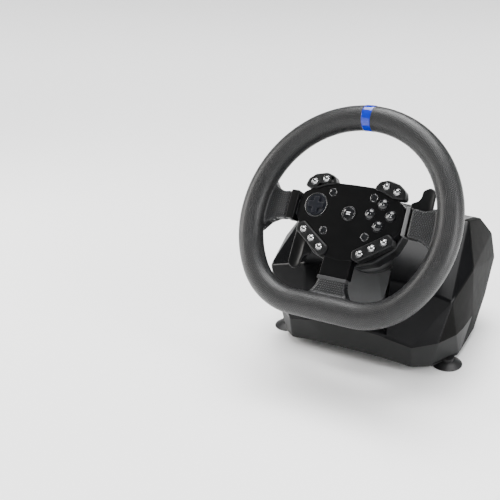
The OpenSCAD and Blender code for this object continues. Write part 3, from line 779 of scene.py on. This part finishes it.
def make_buttons():
    home_ring = ring_profile(HOME_R + GAP, HOME_R + 1.65, RING_LOW, FACE_W + 0.8)
    dpad_ring = ring_profile(DPAD_R + 0.9, DPAD_R + 1.85, RING_LOW, FACE_W + 0.6)
    flush_ring = ring_profile(FLUSH_R + GAP, FLUSH_R + 1.05, RING_LOW, FACE_W + 0.4)
    rings = [lathe("ring", home_ring, HOME, 72), lathe("ring", dpad_ring, DPAD, 96)]
    rings += [lathe("ring", flush_ring, p) for p in FLUSH.values()]
    ring = join("button_ring_set", rings)
    finish_piece(at_wheel(ring), "wheel", "ring_chrome", replaces=("button_rings",))

    section = ring_profile(ACTION_R + GAP, ACTION_R + 1.05, RING_LOW, FACE_W + 0.3, 0.2)
    collar = join("action_collars", [lathe("collar", section, p) for p in ACTION.values()])
    finish_piece(at_wheel(collar), "wheel", "button_metal")

    home = lathe("home_cap", cap_profile(HOME_R, CAP_LOW, FACE_W + 0.8, 0.8), HOME, 72)
    finish_piece(at_wheel(home), "home_button", "button_dark", replaces=("home_button",))
    for key, p in ACTION.items():
        section = cap_profile(ACTION_R, CAP_LOW, FACE_W + 1.3, 1.7, 0.6)
        cap = lathe(f"action_{key}_cap", section, p, 64)
        body = f"action_button_{key}"
        finish_piece(at_wheel(cap), body, "button_dark", replaces=(body,))
    for key, p in FLUSH.items():
        section = cap_profile(FLUSH_R, CAP_LOW, FACE_W + 0.6, 0.4, 0.4)
        cap = lathe(f"flush_{key}_cap", section, p)
        body = f"flush_button_{key}"
        finish_piece(at_wheel(cap), body, "button_dark", replaces=(body,))
    for i, p in enumerate(PODS, 1):
        cap = lathe(f"pod_{i}_cap", cap_profile(POD_R, CAP_LOW, FACE_W + 2.7, 2.1, 0.5), p)
        body = f"pod_button_{i}"
        finish_piece(at_wheel(cap), body, "button_silver", (body,))

    def mark(name, body, centre, shapes, top, material="legend"):
        """Plain raised marks, in place of printed symbols."""
        parts = [prism("m", shape, top - MARK_DEPTH, top + MARK_PROUD) for shape in shapes]
        obj = join(name, parts)
        obj.data.transform(Matrix.Translation((*centre, 0)))
        finish_piece(at_wheel(obj), body, material, smooth=0)

    def bar(y, half=2.4, thick=0.5):
        return [(-half, y - thick), (half, y - thick), (half, y + thick), (-half, y + thick)]

    dots = {
        "top": [(0, 0.9), (-0.9, -0.7), (0.9, -0.7)],
        "left": [(-0.9, 0), (0.9, 0)],
        "right": [(-0.9, 0.9), (0.9, 0.9), (-0.9, -0.9), (0.9, -0.9)],
        "bottom": [(0, 0)],
    }
    for key, spots in dots.items():
        mark(
            f"action_{key}_mark", f"action_button_{key}", ACTION[key],
            [circle(p, 0.68, 16) for p in spots], FACE_W + 1.3 + 1.52,
        )
    mark("home_mark", "home_button", HOME, [bar(1.2), bar(-1.2)], FACE_W + 1.58)
    for i, p in enumerate(PODS, 1):
        mark(
            f"pod_{i}_mark", f"pod_button_{i}", p,
            [circle((0, 0), 1.2, 24)], FACE_W + 4.68, "inner_black",
        )

    dish = [(0, -9.4), (DPAD_R, -9.4), (DPAD_R, -5.4), (DPAD_R - 0.2, -5.0), (DPAD_R - 0.7, -4.8)]
    dish += [
        (r, -4.8 - 0.8 * (1 - (r / (DPAD_R - 0.7)) ** 2))
        for r in (11, 9.5, 8, 6, 4, 2)
    ]
    disc = lathe("dpad_disc", dish + [(0, -5.6)], DPAD, 96)
    finish_piece(at_wheel(disc), "dpad", "dpad_cross", ("dpad",))
    a, b = 10, 3.4
    plus = rounded(
        [(b, b), (b, a), (-b, a), (-b, b), (-a, b), (-a, -b), (-b, -b), (-b, -a),
         (b, -a), (b, -b), (a, -b), (a, b)],
        [0.6, 1.3, 1.3, 0.6, 1.3, 1.3, 0.6, 1.3, 1.3, 0.6, 1.3, 1.3], 4,
    )
    cross = plate("dpad_cross_cap", plus, [], -6.4, -3.2, 0.7, 3)
    cross.data.transform(Matrix.Translation((*DPAD, 0)))
    finish_piece(at_wheel(cross), "dpad", "dpad_cross")


def make_trims():
    outer = bevel(block("a", (75.0, -8, -19), (76.1, 26, -3.6)), 0.3)
    strip = bevel(block("b", (70, -8, -19), (74.8, 26, -3)), 0.9)
    left = bevel(block("c", (-81, -9, -19), (-70.3, 27, -2)), 1.6, 4)
    stem = [(-46, -6.3), (-50, -6.4), (-56, -6.2), (-68.4, -5.2), (-68.4, -19), (-46, -19)]
    lower = prism("d", stem, -18, 18, "X")
    lower = bevel(lower, 0.8, 3, 40)
    trims = join("spoke_trim_set", [outer, left, lower])
    finish_piece(at_wheel(trims), "wheel", "face", ("spoke_trims",))
    strip.name = "right_trim_strip"
    finish_piece(at_wheel(strip), "wheel", "trim_grey")
    edge = bevel(block("lower_trim_edge", (-18.2, -72.6, -12), (18.6, -68.6, -2.9)), 0.5)
    finish_piece(at_wheel(edge), "wheel", "trim_dark")


# ---------------------------------------------------------------- paddles

PADDLE = [
    (52, 13.4), (57.8, 13.4), (69, 7), (79, 4.5), (86, 11), (86.2, 40), (86, 58),
    (77.4, 64.5), (68.8, 58), (68.6, 50), (66, 45), (57.8, 41), (57.8, 24.6), (52, 24.6),
]
PADDLE_RADII = [2, 1, 6, 8, 8, 12, 6, 8, 6, 4, 4, 3, 1, 2]
FINGER_U, FINGER_HALF = 77.4, 8.6
DISH = 1.6
PIVOT_U, PIVOT_W = 52, -46
BARREL = [(1.5, 13.4), (3.1, 13.4), (3.4, 13.8), (3.4, 24.2), (3.1, 24.6), (1.5, 24.6)]


def make_paddles():
    """One dished blade, used twice: the left one is turned half round."""
    for side, turn in (("right", 0), ("left", math.pi)):
        blade = plate("blade", rounded(PADDLE, PADDLE_RADII), [], -48, -44.2, 1.5, 3)
        mod = blade.modifiers.new("voxels", "REMESH")
        mod.mode = "VOXEL"
        mod.voxel_size = 0.7
        apply_modifiers(blade)
        for vert in blade.data.vertices:
            across = min(1, abs(vert.co.x - FINGER_U) / FINGER_HALF)
            vert.co.z -= DISH * (1 - across**2) * min(1, max(0, vert.co.y - 14) / 20)
        barrel = lathe("barrel", BARREL, turns=40)
        barrel.data.transform(
            Matrix.Translation((PIVOT_U, 0, PIVOT_W)) @ Matrix.Rotation(-math.pi / 2, 4, "X")
        )
        paddle = join(f"paddle_{side}_blade", [blade, barrel])
        mod = paddle.modifiers.new("smooth", "SMOOTH")
        mod.iterations = 3
        apply_modifiers(paddle)
        paddle.data.transform(Matrix.Rotation(turn, 4, "Z"))
        finish_piece(at_wheel(paddle), f"paddle_{side}", "graphite", replaces=(f"paddle_{side}",))


# ---------------------------------------------------------------- base

BODY_HALF = [
    (0, 3, 8), (85, 8, 8), (103, 22, 6), (125, 66, 6), (126, 125, 12), (98, 142, 6),
    (122, 185, 34), (0, 190, 34), (0, 0, 48), (60, 0, 48), (85, 4, 38), (126, 26, 97),
    (134, 78, 120), (128, 106, 42), (69, 20, 113), (112, 122, 164), (0, 130, 174),
    (112, 176, 152), (119, 212, 121), (124, 218, 84), (0, 222, 84), (0, 214, 122),
]
BODY_CORE = (0, 110, 90)
PANEL_X = 104.0
WALL = 3.0
PANEL_SIDE = [(66, 0), (106, 42), (78, 120), (122, 164), (130, 200), (260, 200), (260, 0)]
REAR_SIDE = [(176, 200), (143, 0), (260, 0), (260, 200)]
BAND_TOP = [
    (-160, 40), (-128, 42), (-85, 37), (-45, 46), (0, 48.5),
    (45, 46), (85, 37), (128, 42), (160, 40),
]
VALLEY = [(-60, -20), (60, -20), (37, 62), (-37, 62)]
NECK = [(34, 49.2), (52, 106), (112, 122), (112, 49.2)]
VALLEY_Z = 49.0
BEZEL_R, BEZEL_S = 46.0, 97.0  # S is the distance back along the column
PANEL_GAP = 0.3
ARCH_RISE, ARCH_HALF, ARCH_TOP = 8.0, 85.0, 16
CUP_AT = [(-116, 48), (116, 48), (-80, 124), (80, 124)]
SOCKET_X, SOCKET_HALF = 32, 8
VENT_PITCH, VENT_HALF, VENT_LOW, VENT_HIGH = 9, 2, 102, 116
TO_COLUMN = Matrix.Translation((0, 0, HUB_HEIGHT)) @ Matrix.Rotation(math.pi / 2 - TILT, 4, "X")


def hull(name, inset, edge):
    """The convex base body, its wall moved inward, its edges rounded."""
    points = []
    for p in BODY_HALF:
        q = [c - inset * ((c > k) - (c < k)) for c, k in zip(p, BODY_CORE)]
        points += [q, [-q[0], q[1], q[2]]] if p[0] else [q]
    bm = bmesh.new()
    for p in points:
        bm.verts.new(p)
    bmesh.ops.remove_doubles(bm, verts=bm.verts, dist=0.01)
    made = bmesh.ops.convex_hull(bm, input=bm.verts)
    loose = [v for v in made["geom_interior"] if isinstance(v, bmesh.types.BMVert)]
    bmesh.ops.delete(bm, geom=loose, context="VERTS")
    bmesh.ops.dissolve_limit(
        bm, angle_limit=math.radians(1.5), verts=bm.verts, edges=bm.edges
    )
    bmesh.ops.recalc_face_normals(bm, faces=bm.faces)
    mesh = bpy.data.meshes.new(name)
    bm.to_mesh(mesh)
    bm.free()
    obj = bpy.data.objects.new(name, mesh)
    bpy.context.scene.collection.objects.link(obj)
    return bevel(obj, edge, 4, 8) if edge else obj


def copy_of(obj, name):
    twin = bpy.data.objects.new(name, obj.data.copy())
    bpy.context.scene.collection.objects.link(twin)
    return twin


def column_cylinder(name, from_s, to_s, r, turns=96):
    tube = lathe(name, [(0, -to_s), (r, -to_s), (r, -from_s), (0, -from_s)], turns=turns)
    tube.data.transform(TO_COLUMN)
    return tube


def side_prism(name, outline, x_from, x_to):
    return prism(name, outline, x_from, x_to, "X")


def panel_zone(name, edge=0.0):
    zones = [
        side_prism(name, PANEL_SIDE, PANEL_X + edge, 200),
        side_prism(name, PANEL_SIDE, -200, -PANEL_X - edge),
    ]
    return join(name, zones)


def make_base():
    """Every shell of the base is cut from the same rounded body."""
    outer = hull("outer", 0, 2.2)
    inner = hull("inner", WALL, 0)
    below = prism(
        "below", [(-160, -10), *BAND_TOP, (160, -10)], -100, 400, "Y"
    )

    upper = copy_of(outer, "base_upper_shell")
    valley = prism("valley", VALLEY, VALLEY_Z, 260)
    cavity = copy_of(inner, "cavity")
    kept = prism("kept", grown(VALLEY, WALL), VALLEY_Z - WALL, 260)
    boolean(cavity, kept)
    boolean(cavity, column_cylinder("bore_wall", 20, 104, BEZEL_R + 3.5))
    boolean(upper, cavity)
    boolean(upper, valley, keep=True)
    boolean(upper, below, keep=True)
    boolean(upper, panel_zone("zone"))
    boolean(upper, side_prism("rear", REAR_SIDE, -PANEL_X, PANEL_X))
    boolean(upper, column_cylinder("hood_cut", 20, 150, BEZEL_R + 0.5))
    bevel(upper, 0.5, 2, 40)
    finish_piece(
        at_base(upper), "base", "shell_black", ("base_upper",), smooth=28
    )
    # The flanks are satin like the side panels, the wings are polished.
    upper.data.materials.append(MATERIALS["panel_black"])
    for face in upper.data.polygons:
        if abs(face.normal.x) > 0.8:
            face.material_index = 1

    band = copy_of(outer, "base_lower_band")
    boolean(band, copy_of(inner, "cavity"))
    boolean(band, below, "INTERSECT", keep=True)
    boolean(band, panel_zone("zone"))
    boolean(band, block("cut", (-PANEL_X, 32, -1), (PANEL_X, 400, 60)))
    boolean(band, block("cut", (-200, 24, -1), (200, 400, 10)))
    r = (ARCH_HALF**2 + ARCH_RISE**2) / (2 * ARCH_RISE)
    arch = [(x, z - r + ARCH_TOP) for x, z in circle((0, 0), r, 720)]
    boolean(band, prism("arch", arch, -30, 30, "Y"))
    bevel(band, 0.9, 3, 40)
    finish_piece(at_base(band), "base", "band_grey", replaces=("base_lower",), smooth=28)

    for side in (1, -1):
        name = "side_panel_" + ("right" if side > 0 else "left")
        panel = copy_of(outer, name + "_shell")
        boolean(panel, copy_of(inner, "cavity"))
        near = PANEL_X + PANEL_GAP
        low, high = (near, 200) if side > 0 else (-200, -near)
        boolean(panel, side_prism("zone", PANEL_SIDE, low, high), "INTERSECT")
        bevel(panel, 0.9, 3, 40)
        finish_piece(at_base(panel), "base", "panel_black", replaces=(name,), smooth=28)

    rear = copy_of(outer, "rear_cover_shell")
    near = PANEL_X - PANEL_GAP
    boolean(rear, side_prism("zone", REAR_SIDE, -near, near), "INTERSECT")
    boolean(rear, copy_of(inner, "cavity"))
    for x in (-SOCKET_X, SOCKET_X):
        cut = block("socket_cut", (x - SOCKET_HALF, 190, 83), (x + SOCKET_HALF, 250, 97))
        boolean(rear, bevel(cut, 1.5, 3))
    for i in range(-5, 6):
        low, high = i * VENT_PITCH - VENT_HALF, i * VENT_PITCH + VENT_HALF
        slot = [(low, VENT_LOW), (high, VENT_LOW), (high, VENT_HIGH), (low, VENT_HIGH)]
        boolean(rear, prism("vent", rounded(slot, 1.9), 190, 250, "Y"))
    bevel(rear, 0.5, 2, 40)
    finish_piece(at_base(rear), "base", "inner_black", replaces=("rear_cover",), smooth=28)

    neck = bevel(side_prism("column_cover_shell", NECK, -32, 32), 4, 4)
    boolean(neck, column_cylinder("hood", BEZEL_S, 150, BEZEL_R - 1), "UNION")
    boolean(neck, column_cylinder("front", -60, BEZEL_S + 0.4, 140))
    around = copy_of(outer, "around")
    boolean(around, prism("valley", VALLEY, VALLEY_Z, 260))
    boolean(around, column_cylinder("bore", 20, 150, BEZEL_R + 0.4))
    boolean(neck, around)
    boolean(neck, column_cylinder("core", 0, 200, BEZEL_R - 4))
    bevel(neck, 0.7, 2, 40)
    finish_piece(at_base(neck), "base", "neck_grey", replaces=("column_cover",), smooth=28)
    for spare in (outer, inner, below, valley):
        bpy.data.objects.remove(spare)

    ring = [(BEZEL_R - 4, -97), (BEZEL_R - 0.3, -97), (BEZEL_R, -96.6), (BEZEL_R, -87)]
    for k in range(1, 9):
        a = k / 8 * math.radians(76)
        ring.append((BEZEL_R - 12 + 12 * math.cos(a), -87 - 5 + 12 * math.sin(a)))
    ring = [p for p in ring if p[1] <= -80]
    ring += [(35.2, -80), (31, -80), (30.3, -80.3), (30, -81), (30, -89), (BEZEL_R - 4, -89)]
    bezel = lathe("column_bezel_ring", ring, turns=128)
    finish_piece(at_wheel(bezel), "base", "bezel", ("column_bezel",))

    cup = [
        (0, 2.2), (7, 1.9), (13, 1.2), (17.5, 0.05), (18.6, 0), (19, 0.4), (18.9, 1.0),
        (17.2, 1.9), (14.8, 3.2), (12, 4.4), (9.5, 5.3), (7, 5.9), (4, 6.1), (4, 9.6), (0, 9.6),
    ]
    cups = join("suction_cup_set", [lathe("cup", cup, p, 64) for p in CUP_AT])
    finish_piece(at_base(cups), "base", "cup_rubber", replaces=("suction_cups",))


# ---------------------------------------------------------------- inside


def dress_cad():
    """CAD nodes keep their meshes and take the finish of their slot."""
    slots = {s["node"]: s["material_slot"] for s in frame["record"]["subparts"]}
    for name, obj in frame["nodes"].items():
        obj.data.materials.clear()
        obj.data.materials.append(MATERIALS[slots[name]])
        obj.data.shade_smooth()
        obj.data.set_sharp_from_angle(angle=math.radians(30))


# ---------------------------------------------------------------- studio


def area_light(name, place, target, size, power, colour=(1, 1, 1)):
    data = bpy.data.lights.new(name, "AREA")
    data.shape = "RECTANGLE"
    data.size, data.size_y = size
    data.energy = power
    data.color = colour
    lamp = bpy.data.objects.new(name, data)
    bpy.context.scene.collection.objects.link(lamp)
    lamp.location = place
    aim = Vector(target) - Vector(place)
    lamp.rotation_euler = aim.to_track_quat("-Z", "Y").to_euler()


def sun(name, toward, strength, angle):
    """A large soft light at infinity. toward points at the light."""
    data = bpy.data.lights.new(name, "SUN")
    data.energy = strength
    data.angle = math.radians(angle)
    lamp = bpy.data.objects.new(name, data)
    bpy.context.scene.collection.objects.link(lamp)
    lamp.rotation_euler = Vector(toward).to_track_quat("Z", "Y").to_euler()


def make_studio():
    """A pale round floor that sweeps up into a wall painted darker with height as painted shade, and its lights.
    """
    turns = 64
    sweep = [(5 + 1.1 * k, (1.1 * k) ** 2 / 66) for k in range(14)]
    sweep += [(20.2, 4.7), (20.8, 6.6), (21.0, 8.8), (21.2, 22.5)]
    verts = [(0, 0, 0)] + [
        (r * math.cos(2 * math.pi * i / turns), r * math.sin(2 * math.pi * i / turns), z)
        for r, z in sweep
        for i in range(turns)
    ]
    faces = [(0, 1 + i, 1 + (i + 1) % turns) for i in range(turns)]
    for k in range(len(sweep) - 1):
        at = 1 + k * turns
        faces += [
            (at + i, at + turns + i, at + turns + (i + 1) % turns, at + (i + 1) % turns)
            for i in range(turns)
        ]
    floor = new_mesh("floor", verts, faces)
    floor.data.shade_smooth()
    s = Shader("floor", (0.9, 0.9, 0.9), 0.5)
    split = s.node("ShaderNodeSeparateXYZ")
    s.link(s.coords.outputs["Object"], split.inputs[0])
    # Painted shade: the sweep darkens with height, with a faint random mottle from the noise.
    height = s.math("MULTIPLY", split.outputs["Z"], 0.1)
    wall_shade_and_mottle = s.math("ADD", height, s.math("MULTIPLY", s.noise(3.0), 0.04))
    s.link(
        s.ramp(wall_shade_and_mottle, [(0.0, (0.92,) * 3), (0.15, (0.88,) * 3), (0.7, (0.12,) * 3)]),
        s.bsdf.inputs["Base Color"],
    )
    floor.data.materials.append(s.mat)
    world = bpy.context.scene.world or bpy.data.worlds.new("studio")
    bpy.context.scene.world = world
    world.use_nodes = True
    back = world.node_tree.nodes["Background"]
    back.inputs["Color"].default_value = (0.95, 0.97, 1.0, 1)
    back.inputs["Strength"].default_value = 0.3
    sun("overhead", (-0.1, 0.25, 1.0), 7.0, 50)
    sun("back_light", (-0.2, 0.5, 1.0), 1.2, 20)
    area_light("left_strip", (-1.3, -0.5, 0.75), (0, 0, 0.15), (0.3, 1.0), 20, (1, 0.98, 0.95))
    area_light("right_strip", (1.5, -0.15, 0.6), (0.05, 0, 0.15), (0.25, 1.2), 26)

    data = bpy.data.cameras.new("camera")
    camera = bpy.data.objects.new("camera", data)
    bpy.context.scene.collection.objects.link(camera)
    camera.location = (0.3271, -0.6902, 0.4271)
    camera.rotation_euler = (math.radians(90 - 20.84), 0, math.radians(26.093))
    data.sensor_width = 36
    data.lens = 45.9
    data.shift_x = -0.23
    data.shift_y = -0.02
    data.clip_start = 0.01
    bpy.context.scene.camera = camera


dress_cad()
make_rim()
make_hub()
make_buttons()
make_trims()
make_paddles()
make_base()
make_studio()
